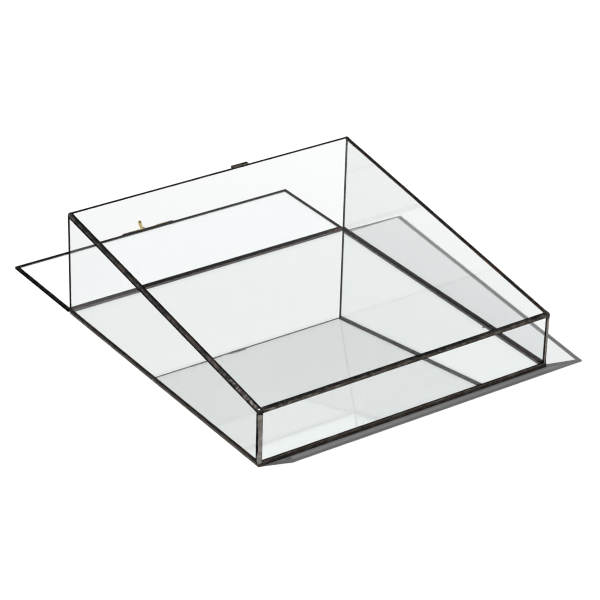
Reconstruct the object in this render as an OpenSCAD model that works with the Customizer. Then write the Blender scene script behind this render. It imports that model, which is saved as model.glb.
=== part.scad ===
// Sloping glass box for papers and keepsakes: clear panes on a mirror floor, edged in
// copper foil and soldered, with a full-width back door that drops flat on a tube hinge
// and is held shut by a sliding bolt.
// Millimetres. Origin: centre of the box's footprint, on its underside.
// +X is to the right, +Y to the back, +Z up. The door is drawn open, lying flat.

/* [Box] */
// Width across the side walls
box_w = 300; // [200:5:450]
// Depth from the front wall to the back opening
box_d = 300; // [150:5:450]
// Height at the back
back_h = 100; // [70:1:150]
// Height at the front
front_h = 53; // [25:1:68]

/* [Glass] */
// Thickness of the clear panes
glass_t = 2; // [1.6:0.1:3]
// Thickness of the mirror floor
mirror_t = 3; // [2.4:0.2:5]

/* [Foil and solder] */
// Thickness of the tinned foil
foil_t = 0.2; // [0.1:0.05:0.4]
// How far the foil laps over the face of the glass
foil_lap = 1.2; // [0.8:0.1:2.5]
// Soldered gap between a brass tube and the edge that carries it
solder_gap = 0.3; // [0.2:0.05:0.6]

/* [Door] */
// Gap between the closed door and the back edges of the box
door_gap = 0.3; // [0.2:0.05:0.6]
// How far the closed door's top edge stays below the top of the box
door_drop = 1.5; // [1.5:0.1:3]

/* [Brass tube and rod] */
// Outer diameter of the tube of hinge, guides and keeper
tube_od = 2.4; // [2:0.1:2.6]
// Diameter of the rod of hinge and bolt
rod_d = 1.6; // [1:0.1:1.7]
// Radial clearance of the rod in the tube
rod_fit = 0.04; // [0.02:0.01:0.08]

/* [Hinge] */
// Length of each short hinge tube on the box
box_tube_l = 14; // [8:1:30]
// From the side of the box to the outer end of the short tube
tube_inset = 2; // [1:0.5:10]
// End gap between neighbouring hinge tubes
tube_end_gap = 0.4; // [0.2:0.1:1]
// How far the rod stays back inside the outer tube ends
rod_recess = 0.4; // [0.2:0.1:2]

/* [Bolt] */
// Left end of the left guide, from the middle of the box
guide_start = -33; // [-70:1:-25]
// Length of each guide tube
guide_l = 17.5; // [12:0.5:25]
// Space between the two guides, in which the handle travels
guide_space = 19; // [12:0.5:30]
// Space from the right guide to the keeper on the box
keeper_space = 0.5; // [0.5:0.5:4]
// Length of the keeper tube
keeper_l = 17; // [8:0.5:25]
// Length of bolt that is still in the left guide when the bolt is shot
bolt_grip = 5; // [2:0.5:10]
// How far the drawn bolt's right end stays inside the right guide
bolt_hide = 0.5; // [0.2:0.1:2]
// Width of the flattened handle
handle_w = 2.6; // [2:0.1:5]
// Width of the handle where it leaves the rod
handle_neck = 1.9; // [1.4:0.1:4]
// Thickness of the flattened handle
handle_t = 0.9; // [0.6:0.1:1.4]
// Length of the handle from the rod's axis
handle_l = 9.5; // [6:0.5:20]
// Diameter of the hole near the handle's tip
handle_hole = 1; // [0.5:0.1:1.4]
// Lean of the handle, above the level, with the door closed
handle_lean = 40; // [35:1:60]
// Gap between the handle and the left guide with the bolt drawn back
rest_gap = 1.5; // [0.5:0.1:3]
// Gap left between the handle and the right guide with the bolt shot
stop_gap = 0.5; // [0.3:0.1:3]
// Thickness of the wear strip on the top edge, under the handle
strip_t = 0.4; // [0.2:0.1:0.6]
// How far the wear strip runs past the handle's travel at each end
strip_over = 8; // [2:0.5:15]

/* [Hidden] */
$fn = 64;

// Colours of the finished pieces
clear_glass = [0.85, 0.91, 0.89, 0.35];
mirror_glass = [0.78, 0.83, 0.80];
patina = [0.16, 0.155, 0.15];
copper_brown = [0.36, 0.24, 0.17];
brass = [0.71, 0.60, 0.33];

// Thickness of a foiled pane, and the width of foil that shows on its face
pane_t = glass_t + 2 * foil_t;
floor_t = mirror_t + 2 * foil_t;
foil_w = foil_t + foil_lap;

// Slope of the top, and the inner line where top, wall and front panes meet
slope = atan((back_h - front_h) / box_d);
meet_y = -box_d / 2 + pane_t;
meet_z = front_h + pane_t * tan(slope) - pane_t / cos(slope);
meet = [-box_w / 2 + pane_t, meet_y, meet_z];

// The top pane, measured up the slope from the box's front edge
top_start = pane_t * (1 - sin(slope)) / cos(slope);
top_end = (box_d - pane_t * sin(slope)) / cos(slope);

// A bead of solder is round about the inner line of its joint and ends at the foil's edge
bead_r = sqrt(pow(pane_t, 2) + pow(foil_w, 2));

// Hinge: the open door and the tubes both lie on the table
tube_r = tube_od / 2;
bore_d = rod_d + 2 * rod_fit;
door_face = box_d / 2 + door_gap;
hinge_z = max(pane_t, tube_od) / 2;
hinge_y = door_face + hinge_z;
hinge_half = box_w / 2 - tube_inset;
door_tube_half = hinge_half - box_tube_l - tube_end_gap;
door_bottom = hinge_z + tube_r + solder_gap;
door_top = back_h - door_drop;
saddle_w = tube_od * cos(45);

// Bolt, with the door closed; the bolt is drawn back
bolt_z = door_top + solder_gap + tube_r;
handle_x = guide_start + guide_l + rest_gap + handle_w / 2;
bolt_travel = guide_space - handle_w - rest_gap - stop_gap;
right_guide = guide_start + guide_l + guide_space;
keeper_start = right_guide + guide_l + keeper_space;
bolt_left = guide_start + guide_l - bolt_travel - bolt_grip;
bolt_right = right_guide + guide_l - bolt_hide;
strip_start = handle_x - handle_w / 2 - strip_over;
strip_l = bolt_travel + handle_w + 2 * strip_over;

// Larger than the box, for cutting planes
beyond = 2 * (box_w + box_d + back_h);

// ---- outlines of the foiled panes, drawn in by an inset all round ----

module floor_outline(inset) {
    square([box_w - 2 * inset, box_d - 2 * inset], center = true);
}

// Drawn in Y and Z
module side_outline(inset) {
    front = meet_y + inset;
    back = box_d / 2 - inset;
    base = floor_t + inset;
    drop = inset / cos(slope);
    polygon([
        [front, base],
        [back, base],
        [back, meet_z + (back - meet_y) * tan(slope) - drop],
        [front, meet_z + inset * tan(slope) - drop]
    ]);
}

// Drawn in X and Z
module front_outline(inset) {
    translate([-box_w / 2 + pane_t + inset, floor_t + inset])
        square([box_w - 2 * (pane_t + inset), meet_z - floor_t - 2 * inset]);
}

// Drawn in X and up the slope
module top_outline(inset) {
    translate([-box_w / 2 + pane_t + inset, top_start + inset])
        square([box_w - 2 * (pane_t + inset), top_end - top_start - 2 * inset]);
}

// Drawn in X and Z, with the door closed
module door_outline(inset) {
    translate([-box_w / 2 + inset, door_bottom + inset])
        square([box_w - 2 * inset, door_top - door_bottom - 2 * inset]);
}

// ---- a pane is glass in a border of foil folded round its edge ----

// Child: the outline drawn in by the foil's thickness
module glass_sheet(thick) {
    translate([0, 0, foil_t])
        linear_extrude(thick) children(0);
}

// Children: the whole outline, the outline of the glass, and the clear window
module foil_border(thick) {
    difference() {
        linear_extrude(thick + 2 * foil_t) children(0);
        translate([0, 0, foil_t])
            linear_extrude(thick) children(1);
        translate([0, 0, -foil_t])
            linear_extrude(thick + 4 * foil_t) children(2);
    }
}

// ---- places of the panes ----

module at_left() {
    translate([-box_w / 2, 0, 0]) rotate([90, 0, 90]) children();
}

module at_right() {
    mirror([1, 0, 0]) at_left() children();
}

module at_front() {
    translate([0, meet_y, 0]) rotate([90, 0, 0]) children();
}

module at_top() {
    translate([0, -box_d / 2, front_h]) rotate([slope, 0, 0])
        translate([0, 0, -pane_t]) children();
}

// Draws what is described with the door closed in its open place
module on_open_door() {
    translate([0, hinge_y, hinge_z]) rotate([-90, 0, 0])
        translate([0, -hinge_y, -hinge_z]) children();
}

module on_door_face() {
    translate([0, door_face + pane_t, 0]) rotate([90, 0, 0]) children();
}

// ---- solder beads ----

// Section of an outside corner bead: the joint's inner line is at the origin, one pane
// runs along +X and the other along +Y, and the outside is towards -X and -Y
module bead_section() {
    difference() {
        circle(r = bead_r);
        translate([-pane_t, 0]) square(2 * bead_r);
        translate([0, -pane_t]) square(2 * bead_r);
    }
}

// Section of a flat bead that lies on an outer face at -X
module flat_bead_section() {
    difference() {
        circle(r = bead_r);
        translate([-pane_t, -2 * bead_r]) square(4 * bead_r);
    }
}

// The half of space above a plane that is turned about the origin
module half_space(turn) {
    rotate(turn) translate([-beyond, -beyond, 0])
        cube([2 * beyond, 2 * beyond, beyond]);
}

// Beads are mitred on the planes that halve the angles between them
module mitre_up_slope() { half_space([slope / 2 - 45, 0, 0]); }
module mitre_below_slope() { half_space([slope / 2 + 135, 0, 0]); }

module corner_bead() {
    translate([meet[0], meet[1], 0])
        difference() {
            translate([0, 0, floor_t])
                linear_extrude(meet_z - floor_t) bead_section();
            translate([0, 0, meet_z]) mitre_up_slope();
            translate([0, 0, meet_z]) half_space([0, 45, 0]);
            translate([0, 0, floor_t]) half_space([-135, 0, 0]);
            translate([0, 0, floor_t]) half_space([0, 135, 0]);
        }
}

// Round end that closes the corner where three beads meet
module corner_ball() {
    difference() {
        sphere(r = bead_r);
        half_space([180, 0, 0]);
        half_space([0, 90, 0]);
        half_space([slope - 90, 0, 0]);
    }
}

module top_side_bead() {
    difference() {
        translate(meet)
            union() {
                difference() {
                    rotate([slope - 90, 0, 0])
                        linear_extrude(1.1 * box_d / cos(slope)) bead_section();
                    mitre_below_slope();
                    rotate([slope, 0, 0]) half_space([0, 90, -45]);
                }
                corner_ball();
            }
        translate([0, box_d / 2, 0]) half_space([-90, 0, 0]);
    }
}

// Section in Y and Z of the bead between the front and the top
module top_front_section() {
    difference() {
        circle(r = bead_r);
        translate([-pane_t, -2 * bead_r]) square([4 * bead_r, 2 * bead_r]);
        rotate(slope) translate([0, -3 * bead_r])
            square([4 * bead_r, 3 * bead_r + pane_t]);
    }
}

module top_front_bead() {
    difference() {
        translate(meet) rotate([90, 0, 90])
            linear_extrude(-2 * meet[0]) top_front_section();
        for (side = [0, 1])
            mirror([side, 0, 0]) translate(meet) {
                half_space([0, -135, 0]);
                rotate([slope, 0, 0]) half_space([0, 90, 135]);
            }
    }
}

module base_side_bead() {
    difference() {
        translate([meet[0], box_d / 2, floor_t]) rotate([90, 0, 0])
            linear_extrude(box_d) flat_bead_section();
        translate([meet[0], meet[1], floor_t]) half_space([45, 0, 0]);
    }
}

module base_front_bead() {
    difference() {
        translate([-box_w / 2, meet_y, floor_t]) rotate([90, 0, 90])
            linear_extrude(box_w) flat_bead_section();
        for (side = [0, 1])
            mirror([side, 0, 0]) translate([meet[0], meet[1], floor_t])
                half_space([0, -45, 0]);
    }
}

// ---- brass tube and rod, along X and centred ----

module tube(length) {
    rotate([0, 90, 0])
        difference() {
            cylinder(d = tube_od, h = length, center = true);
            cylinder(d = bore_d, h = length + 2, center = true);
        }
}

module rod(length) {
    rotate([0, 90, 0]) cylinder(d = rod_d, h = length, center = true);
}

// Solder between a tube and a flat edge above it, at the reach from the tube's axis
module saddle(length, reach) {
    rotate([90, 0, 90])
        linear_extrude(length, center = true)
            difference() {
                translate([-saddle_w / 2, 0]) square([saddle_w, reach]);
                circle(r = tube_r);
            }
}

module hinge_line(x) {
    translate([x, hinge_y, hinge_z]) children();
}

module bolt_line(x) {
    translate([x, hinge_y, bolt_z]) children();
}

// ---- floor ----

module floor_mirror() {
    color(mirror_glass) glass_sheet(mirror_t) floor_outline(foil_t);
}

module floor_foil() {
    color(patina) foil_border(mirror_t) {
        floor_outline(0);
        floor_outline(foil_t);
        floor_outline(foil_w);
    }
}

// ---- walls ----

module left_glass() {
    color(clear_glass) at_left() glass_sheet(glass_t) side_outline(foil_t);
}

module right_glass() {
    color(clear_glass) at_right() glass_sheet(glass_t) side_outline(foil_t);
}

module side_foil() {
    foil_border(glass_t) {
        side_outline(0);
        side_outline(foil_t);
        side_outline(foil_w);
    }
}

module left_foil() {
    color(patina) at_left() side_foil();
}

module right_foil() {
    color(patina) at_right() side_foil();
}

module front_glass() {
    color(clear_glass) at_front() glass_sheet(glass_t) front_outline(foil_t);
}

module front_foil() {
    color(patina) at_front() foil_border(glass_t) {
        front_outline(0);
        front_outline(foil_t);
        front_outline(foil_w);
    }
}

// ---- sloping top ----

module top_glass() {
    color(clear_glass) at_top() glass_sheet(glass_t) top_outline(foil_t);
}

module top_foil() {
    color(patina) at_top() foil_border(glass_t) {
        top_outline(0);
        top_outline(foil_t);
        top_outline(foil_w);
    }
}

// ---- soldered seams ----

module corner_seam_left() {
    color(patina) corner_bead();
}

module corner_seam_right() {
    color(patina) mirror([1, 0, 0]) corner_bead();
}

module top_seam_left() {
    color(patina) top_side_bead();
}

module top_seam_right() {
    color(patina) mirror([1, 0, 0]) top_side_bead();
}

module top_seam_front() {
    color(patina) top_front_bead();
}

module base_seam_left() {
    color(patina) base_side_bead();
}

module base_seam_right() {
    color(patina) mirror([1, 0, 0]) base_side_bead();
}

module base_seam_front() {
    color(patina) base_front_bead();
}

// ---- hinge ----

module hinge_tube_left() {
    color(copper_brown) hinge_line(-hinge_half + box_tube_l / 2) tube(box_tube_l);
}

module hinge_tube_right() {
    color(copper_brown) hinge_line(hinge_half - box_tube_l / 2) tube(box_tube_l);
}

// The short tubes hang on the floor's back edge
module box_tube_saddle() {
    rotate([90, 0, 0]) saddle(box_tube_l, hinge_y - box_d / 2);
}

module hinge_solder_left() {
    color(patina) hinge_line(-hinge_half + box_tube_l / 2) box_tube_saddle();
}

module hinge_solder_right() {
    color(patina) hinge_line(hinge_half - box_tube_l / 2) box_tube_saddle();
}

module hinge_rod() {
    color(brass) hinge_line(0) rod(2 * (hinge_half - rod_recess));
}

module door_hinge_tube() {
    color(patina) hinge_line(0) tube(2 * door_tube_half);
}

module door_hinge_solder() {
    color(patina) on_open_door() hinge_line(0)
        saddle(2 * door_tube_half, door_bottom - hinge_z);
}

// ---- door ----

module door_glass() {
    color(clear_glass) on_open_door() on_door_face()
        glass_sheet(glass_t) door_outline(foil_t);
}

module door_foil() {
    color(patina) on_open_door() on_door_face()
        foil_border(glass_t) {
            door_outline(0);
            door_outline(foil_t);
            door_outline(foil_w);
        }
}

// ---- bolt, its guides on the door and its keeper on the box ----

module bolt_guide_left() {
    color(copper_brown) on_open_door() bolt_line(guide_start + guide_l / 2) tube(guide_l);
}

module bolt_guide_right() {
    color(copper_brown) on_open_door() bolt_line(right_guide + guide_l / 2) tube(guide_l);
}

module guide_solder() {
    color(patina) on_open_door()
        for (start = [guide_start, right_guide])
            bolt_line(start + guide_l / 2) rotate([180, 0, 0])
                saddle(guide_l, bolt_z - door_top);
}

module handle_outline() {
    round_r = handle_w / 2;
    round_z = handle_l - round_r;
    difference() {
        union() {
            polygon([
                [-handle_neck / 2, 0],
                [handle_neck / 2, 0],
                [round_r, round_z],
                [-round_r, round_z]
            ]);
            translate([0, round_z]) circle(r = round_r);
        }
        translate([0, round_z]) circle(d = handle_hole);
    }
}

module bolt() {
    color(brass) on_open_door() {
        bolt_line((bolt_left + bolt_right) / 2) rod(bolt_right - bolt_left);
        bolt_line(handle_x) rotate([90 - handle_lean, 0, 0]) rotate([90, 0, 0])
            linear_extrude(handle_t, center = true) handle_outline();
    }
}

module bolt_keeper() {
    color(copper_brown) bolt_line(keeper_start + keeper_l / 2) tube(keeper_l);
}

// Fillet from the back edge of the top pane to the keeper; its height follows the bolt
module keeper_solder() {
    edge_y = box_d / 2 - pane_t * sin(slope);
    edge_z = front_h + top_end * sin(slope);
    tube_side = hinge_y - saddle_w / 2;
    foot_z = bolt_z - saddle_w / 2;
    color(patina) translate([keeper_start, 0, 0]) rotate([90, 0, 90])
        linear_extrude(keeper_l)
            difference() {
                polygon([
                    [edge_y - foil_w * cos(slope), edge_z - foil_w * sin(slope)],
                    [edge_y, edge_z],
                    [edge_y + (edge_z - foot_z) * tan(slope), foot_z],
                    [tube_side, foot_z],
                    [tube_side, bolt_z + saddle_w / 2]
                ]);
                translate([hinge_y, bolt_z]) circle(r = tube_r);
            }
}

module wear_strip() {
    color(patina) at_top()
        translate([strip_start, top_end - foil_w, pane_t])
            cube([strip_l, foil_w, strip_t]);
}

floor_mirror();
floor_foil();
left_glass();
left_foil();
right_glass();
right_foil();
front_glass();
front_foil();
top_glass();
top_foil();
corner_seam_left();
corner_seam_right();
top_seam_left();
top_seam_right();
top_seam_front();
base_seam_left();
base_seam_right();
base_seam_front();
hinge_tube_left();
hinge_tube_right();
hinge_solder_left();
hinge_solder_right();
hinge_rod();
bolt_keeper();
keeper_solder();
wear_strip();
door_glass();
door_foil();
door_hinge_tube();
door_hinge_solder();
bolt_guide_left();
bolt_guide_right();
guide_solder();
bolt();
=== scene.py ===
"""Looks of a sloping glass box with a mirror floor, foiled and soldered edges,
a back door on a tube hinge and a sliding brass bolt.

Metres, in the frame of the construction model: +X to the right, +Y to the back, +Z up.
"""

import math

import bmesh
import bpy
from mathutils import Matrix, Vector, noise


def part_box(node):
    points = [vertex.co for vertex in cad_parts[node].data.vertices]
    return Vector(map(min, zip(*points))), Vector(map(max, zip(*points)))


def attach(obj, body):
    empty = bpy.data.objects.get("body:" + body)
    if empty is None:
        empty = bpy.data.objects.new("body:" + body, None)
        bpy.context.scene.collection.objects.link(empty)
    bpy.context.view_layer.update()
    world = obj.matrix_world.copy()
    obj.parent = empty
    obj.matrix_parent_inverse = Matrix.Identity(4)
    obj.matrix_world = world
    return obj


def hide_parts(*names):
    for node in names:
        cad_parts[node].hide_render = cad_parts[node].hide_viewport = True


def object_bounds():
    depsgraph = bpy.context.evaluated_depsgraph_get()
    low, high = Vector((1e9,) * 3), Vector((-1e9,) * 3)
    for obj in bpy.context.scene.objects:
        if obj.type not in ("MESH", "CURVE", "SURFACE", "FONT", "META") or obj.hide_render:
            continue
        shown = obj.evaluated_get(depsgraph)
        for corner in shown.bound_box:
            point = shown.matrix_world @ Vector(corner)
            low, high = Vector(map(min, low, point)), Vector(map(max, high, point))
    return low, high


bl_info = {
    "name": "Sloping glass box",
    "version": (1, 0, 0),
    "blender": (4, 5, 0),
    "location": "3D View > Sidebar > Glass box",
    "description": "Makes the panes, foil, solder, hinge, bolt and table of a glass box",
    "category": "Add Mesh",
}

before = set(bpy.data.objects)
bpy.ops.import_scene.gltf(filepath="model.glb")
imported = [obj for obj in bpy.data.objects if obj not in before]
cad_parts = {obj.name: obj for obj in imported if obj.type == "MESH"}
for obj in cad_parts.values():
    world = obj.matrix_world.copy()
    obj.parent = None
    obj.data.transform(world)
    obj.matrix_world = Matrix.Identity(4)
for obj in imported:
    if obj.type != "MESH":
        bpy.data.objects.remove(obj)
CAD_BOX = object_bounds()

MM = 0.001

X = Vector((1, 0, 0))
Y = Vector((0, 1, 0))
Z = Vector((0, 0, 1))

# Glass node, foil node and body of each clear pane
PANES = {
    "left": ("left_glass", "left_foil", "box"),
    "right": ("right_glass", "right_foil", "box"),
    "front": ("front_glass", "front_foil", "box"),
    "top": ("top_glass", "top_foil", "box"),
    "door": ("door_glass", "door_foil", "door"),
}
GLASS_BEVEL = 0.1 * MM
# Radius at which the foil is folded round the edge of a pane
FOIL_FOLD = 0.16 * MM
SILVER_T = 0.05 * MM

# How far a bead of solder runs past its corner before it is mitred
BEAD_RUN = 4 * MM
# How many rings of points it has near each end, and how far apart the others are
END_RINGS = 30
RING_STEP = 1.3 * MM
# Points across the round of a bead, and of the narrow beads at the foot
BEAD_STEPS = 14
FOOT_STEPS = 8
# How far the foot's beads sink into the foil behind them
FOOT_GRIP = 0.12 * MM
# How far the lump of solder at a corner reaches, in radii of a bead
LUMP_REACH = 1.35
# How far the border between two patinas wanders, as a share of a bead's round
WANDER = 0.2
# Up to which share of its round, from its first edge, a bead has each of its materials.
# Number 1 is the black patina that gathers along the edges
CORNER_EDGES = ((0.36, 1), (0.96, 0), (1, 1))
SIDE_EDGES = ((0.21, 1), (0.79, 0), (1, 1))
FOOT_EDGES = ((0.15, 1), (1, 0))
# The low front bead is black along its top and has lighter worn solder along its underside; the
# lighter underside is partly a painted reflection of the bright table in front of it
FRONT_PAINTED_LIGHT_BANDS = ((0.04, 1), (0.38, 0), (0.80, 2), (1, 1))

# Tubes and rods: the play of a rod in its tube, and how round they are
PLAY = 0.04 * MM
TUBE_CHAMFER = 0.12 * MM
TUBE_SIDES = 28
ROD_SIDES = 24
# Rounded end of a rod: how wide it is and how far back, in radii
ROD_END = ((0.35, 0.0), (0.8, 0.12), (1.0, 0.35))
FILLET_SIDES = 12
FILLET_STEP = 1.2 * MM
RIDGE_STEPS = 30
RIDGE_SIDES = 8

# The bolt's handle is wider at its tip than in the construction model, and narrower
# where it leaves the rod
HANDLE_SPREAD = 1.4
HANDLE_NECK = 0.7
HANDLE_SIDES = 20
# Radius of the hole near the handle's tip, and of the dark ring round it
HOLE_R = 0.5 * MM
DARK_RING_R = 1.15 * MM

GLASS_IOR = 1.52
# Lamplight lost at a face of a pane, for each part that the face mirrors: the least,
# and how much it grows with the part mirrored
SHADOW_LOSS = 0.82
SHADOW_LOSS_RISE = 1.7
SPECK = (0.25, 0.25, 0.24)
SILVER_SPOT = (0.12, 0.11, 0.10)
# Depth of the roughness of the metals
RELIEF = 0.1 * MM

TABLE_RADIUS = 9.0
# The table lies a hair lower than the box, so that the two never share a face
TABLE_GAP = 0.05 * MM
TABLE_WHITE = 0.9
# How white the table is in what metal and glass mirror
TABLE_MIRRORED = 0.28
# Heights above the table, in degrees: where the backdrop ends, where the dim ceiling
# starts, where it ends and where the light overhead starts
BACKDROP_TOP = 34
CEILING_LOW = 44
CEILING_HIGH = 52
OVERHEAD_LOW = 66
CEILING_LIGHT = 0.10
# How far towards the back one looks, as a cosine, where the backdrop is at its dimmest
# and where it is at its brightest
BACKDROP_DIM = -0.2
BACKDROP_FULL = 0.6
# How bright the backdrop is in front of the box, against behind it
FRONT_SHARE = 0.6
# How much of what is seen of the backdrop lights the table and other dull surfaces
SOFT_SHARE = 0.42


# ---- settings that a user would change ----


def length_setting(name, description, default, **limits):
    return bpy.props.FloatProperty(
        name=name, description=description, default=default, subtype="DISTANCE",
        unit="LENGTH", **limits,
    )


def share_setting(name, description, default, most):
    return bpy.props.FloatProperty(
        name=name, description=description, default=default, min=0, max=most,
        subtype="FACTOR",
    )


def colour_setting(name, description, default):
    return bpy.props.FloatVectorProperty(
        name=name, description=description, default=default, min=0, max=1,
        subtype="COLOR",
    )


def angle_setting(name, description, degrees):
    return bpy.props.FloatProperty(
        name=name, description=description, default=math.radians(degrees),
        subtype="ANGLE", unit="ROTATION",
    )


def point_setting(name, description, default):
    return bpy.props.FloatVectorProperty(
        name=name, description=description, default=default, subtype="TRANSLATION",
        unit="LENGTH",
    )


def plain_setting(name, description, default, least=0):
    return bpy.props.FloatProperty(
        name=name, description=description, default=default, min=least,
    )


class GlassBoxWork(bpy.types.PropertyGroup):
    """How evenly the foil and the solder were laid"""

    solder_swell: share_setting(
        "Solder swell", "How much a solder bead shrinks and swells, as a share of its radius",
        0.06, most=0.075,
    )
    swell_length: length_setting(
        "Swell length", "Length of one swelling along a solder bead",
        11 * MM, min=3 * MM, max=0.04,
    )
    foil_waver: length_setting(
        "Foil waver", "How far the edge of the foil wanders over the glass",
        0.16 * MM, min=0, max=0.4 * MM,
    )
    door_lap: length_setting(
        "Door lap", "Width of the tinned edge on the faces of the door",
        3.1 * MM, min=1 * MM, max=4 * MM,
    )
    side_lap: length_setting(
        "Side lap", "How much wider the foil is on the side panes than on the others",
        0.5 * MM, min=0, max=1 * MM,
    )
    corner_blob: share_setting(
        "Corner blob", "How much a bead grows where it meets others, as a share of its radius",
        0.07, most=0.15,
    )
    bond: length_setting(
        "Bond", "How far the glued foil presses into the skin of the glass",
        0.012 * MM, min=0.002 * MM, max=0.05 * MM,
    )


class GlassBoxFinish(bpy.types.PropertyGroup):
    """Colours of the glass and metals"""

    glass_tint: colour_setting("Glass", "Tint of a clear pane", (0.975, 0.985, 0.985))
    mirror_tint: colour_setting(
        "Mirror glass", "Tint of the mirror's glass", (0.965, 0.985, 0.975))
    silver: colour_setting(
        "Silvering", "Colour of the mirror's silvering", (0.965, 0.97, 0.965))
    patina_dark: colour_setting(
        "Patina", "Black patina on the solder", (0.040, 0.040, 0.039))
    patina_worn: colour_setting(
        "Worn patina", "Solder that shows through the patina", (0.52, 0.48, 0.44))
    patina_warm: colour_setting(
        "Warm patina", "Brownish stain in the patina", (0.16, 0.13, 0.105))
    foil_dark: colour_setting(
        "Foil patina", "Black patina on the thin tin of the foil", (0.022, 0.022, 0.022))
    copper: colour_setting(
        "Copper", "Underside of the foil, seen through the glass", (0.50, 0.25, 0.14))
    aged_brass: colour_setting(
        "Aged brass", "Brown brass of the bolt and its tubes", (0.58, 0.42, 0.17))
    red_brass: colour_setting(
        "Red brass", "Coppery brass of the short hinge tubes", (0.85, 0.34, 0.12))
    brass: colour_setting(
        "Brass", "Bare brass of the bolt's handle and the hinge rod", (1.0, 0.83, 0.34))


class GlassBoxStudio(bpy.types.PropertyGroup):
    """Camera and light"""

    azimuth: angle_setting(
        "Azimuth", "Camera's bearing, from the front towards the right", -35.534)
    elevation: angle_setting("Elevation", "Camera's angle above the table", 28.80)
    roll: angle_setting("Roll", "Camera's turn about its own axis", 1.665)
    distance: length_setting("Distance", "From the camera to the box", 2.2237, min=0.5)
    aim: point_setting(
        "Aim", "Point that the camera looks at, before its sideways steps", (0, 0, 0.030))
    step_right: length_setting("Step right", "Sideways step of the camera", -4.89 * MM)
    step_up: length_setting("Step up", "Upward step of the camera", 8.517 * MM)
    focal_length: plain_setting(
        "Focal length", "Lens, in millimetres on a 36 mm frame", 153.264, least=20)
    lamp: point_setting(
        "Lamp", "Place of the small main lamp, high on the left", (-1.17, 0.21, 2.10))
    lamp_radius: length_setting(
        "Lamp radius", "Radius of the main lamp", 0.022, min=0.002)
    lamp_light: plain_setting(
        "Lamp light", "Brightness that the lamp gives a white table", 0.91)
    backdrop: plain_setting("Backdrop", "Brightness of the low white backdrop", 1.30)
    overhead: plain_setting(
        "Overhead", "Brightness of the soft light right above the box", 0.5)


# ---- flat outlines, taken from the construction model ----


class Pane:
    """A flat pane: the corners of its low face, in order round its normal"""

    def __init__(self, corners, normal, thickness):
        self.corners = corners
        self.normal = normal
        self.thickness = thickness

    def grown(self, by):
        """The pane with a skin of that thickness all round"""
        low = [c - self.normal * by for c in drawn_in(self.corners, self.normal, -by)]
        return Pane(low, self.normal, self.thickness + 2 * by)


def drawn_in(corners, normal, by):
    """The outline moved inwards by the same distance on all sides"""
    count = len(corners)
    inward = []
    for k in range(count):
        side = (corners[(k + 1) % count] - corners[k]).normalized()
        inward.append(normal.cross(side))
    moved = []
    for k in range(count):
        before = inward[k - 1]
        after = inward[k]
        moved.append(corners[k] + (before + after) * (by / (1 + before.dot(after))))
    return moved


def pane_of(node):
    """The pane that a glass node of the frame is"""
    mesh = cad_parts[node].data
    normal = max(mesh.polygons, key=lambda face: face.area).normal.copy()
    heights = [v.co.dot(normal) for v in mesh.vertices]
    low, high = min(heights), max(heights)
    same_point = 0.1 * MM
    found = []
    for v, height in zip(mesh.vertices, heights):
        if height < (low + high) / 2 and all((v.co - p).length > same_point for p in found):
            found.append(v.co.copy())
    centre = sum(found, Vector()) / len(found)
    across = (found[0] - centre).normalized()
    along = normal.cross(across)
    found.sort(key=lambda p: math.atan2((p - centre).dot(along), (p - centre).dot(across)))
    return Pane(found, normal, high - low)


def foil_thickness(glass_node, foil_node):
    """How much thicker the foiled edge is than the glass, on one side"""
    pane = pane_of(glass_node)
    heights = [v.co.dot(pane.normal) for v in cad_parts[foil_node].data.vertices]
    return (max(heights) - min(heights) - pane.thickness) / 2


# ---- meshes ----


def loft(bm, rings, materials=None):
    """Closed rings of points joined one to the next; gives the rings of vertices"""
    made = [[bm.verts.new(p) for p in ring] for ring in rings]
    for near, far in zip(made, made[1:]):
        bridge(bm, near, far, materials)
    return made


def bridge(bm, near, far, materials=None):
    """Faces between two rings, each with the material of the point before it"""
    for k in range(len(near)):
        face = bm.faces.new((near[k - 1], near[k], far[k], far[k - 1]))
        if materials:
            face.material_index = materials[k - 1]


def loft_closed(bm, rings, materials=None):
    """The same, with the last ring joined to the first"""
    made = loft(bm, rings, materials)
    bridge(bm, made[-1], made[0], materials)


def loft_capped(bm, rings, materials=None):
    """The same, with both ends closed by a face"""
    made = loft(bm, rings, materials)
    bm.faces.new(made[0])
    bm.faces.new(list(reversed(made[-1])))


def cut_away(bm, point, outward):
    """Removes what is beyond a plane and closes the cut"""
    geometry = bm.verts[:] + bm.edges[:] + bm.faces[:]
    cut = bmesh.ops.bisect_plane(
        bm, geom=geometry, dist=0.001 * MM, plane_co=point, plane_no=outward,
        clear_outer=True,
    )
    edges = [g for g in cut["geom_cut"] if isinstance(g, bmesh.types.BMEdge)]
    if edges:
        bmesh.ops.edgenet_fill(bm, edges=edges)


def mirrored(bm):
    """Turns a left piece into a right one"""
    bmesh.ops.scale(bm, vec=Vector((-1, 1, 1)), verts=bm.verts)
    bmesh.ops.reverse_faces(bm, faces=bm.faces)


def mesh_of(name, bm, materials):
    """The finished mesh of a bmesh, which ends here"""
    mesh = bpy.data.meshes.new(name)
    bm.to_mesh(mesh)
    bm.free()
    for material in materials:
        mesh.materials.append(material)
    return mesh


def add_object(name, data):
    """A new object in the scene"""
    made = bpy.data.objects.new(name, data)
    bpy.context.scene.collection.objects.link(made)
    return made


def finish_piece(name, bm, materials, node, body, smooth=40):
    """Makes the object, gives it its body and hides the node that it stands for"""
    bmesh.ops.recalc_face_normals(bm, faces=bm.faces)
    mesh = mesh_of(name, bm, materials)
    mesh.shade_smooth()
    mesh.set_sharp_from_angle(angle=math.radians(smooth))
    piece = add_object(name, mesh)
    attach(piece, body)
    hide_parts(node)
    return piece


def uneven(along, length, seed):
    """Smooth noise from 0 to 1 along a line, with swellings of about that length"""
    height = 1.6 * noise.noise(Vector((along / length, seed, 0.5)))
    return 0.5 + 0.5 * max(-1, min(1, height))


# ---- panes and the foil round them ----


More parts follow.
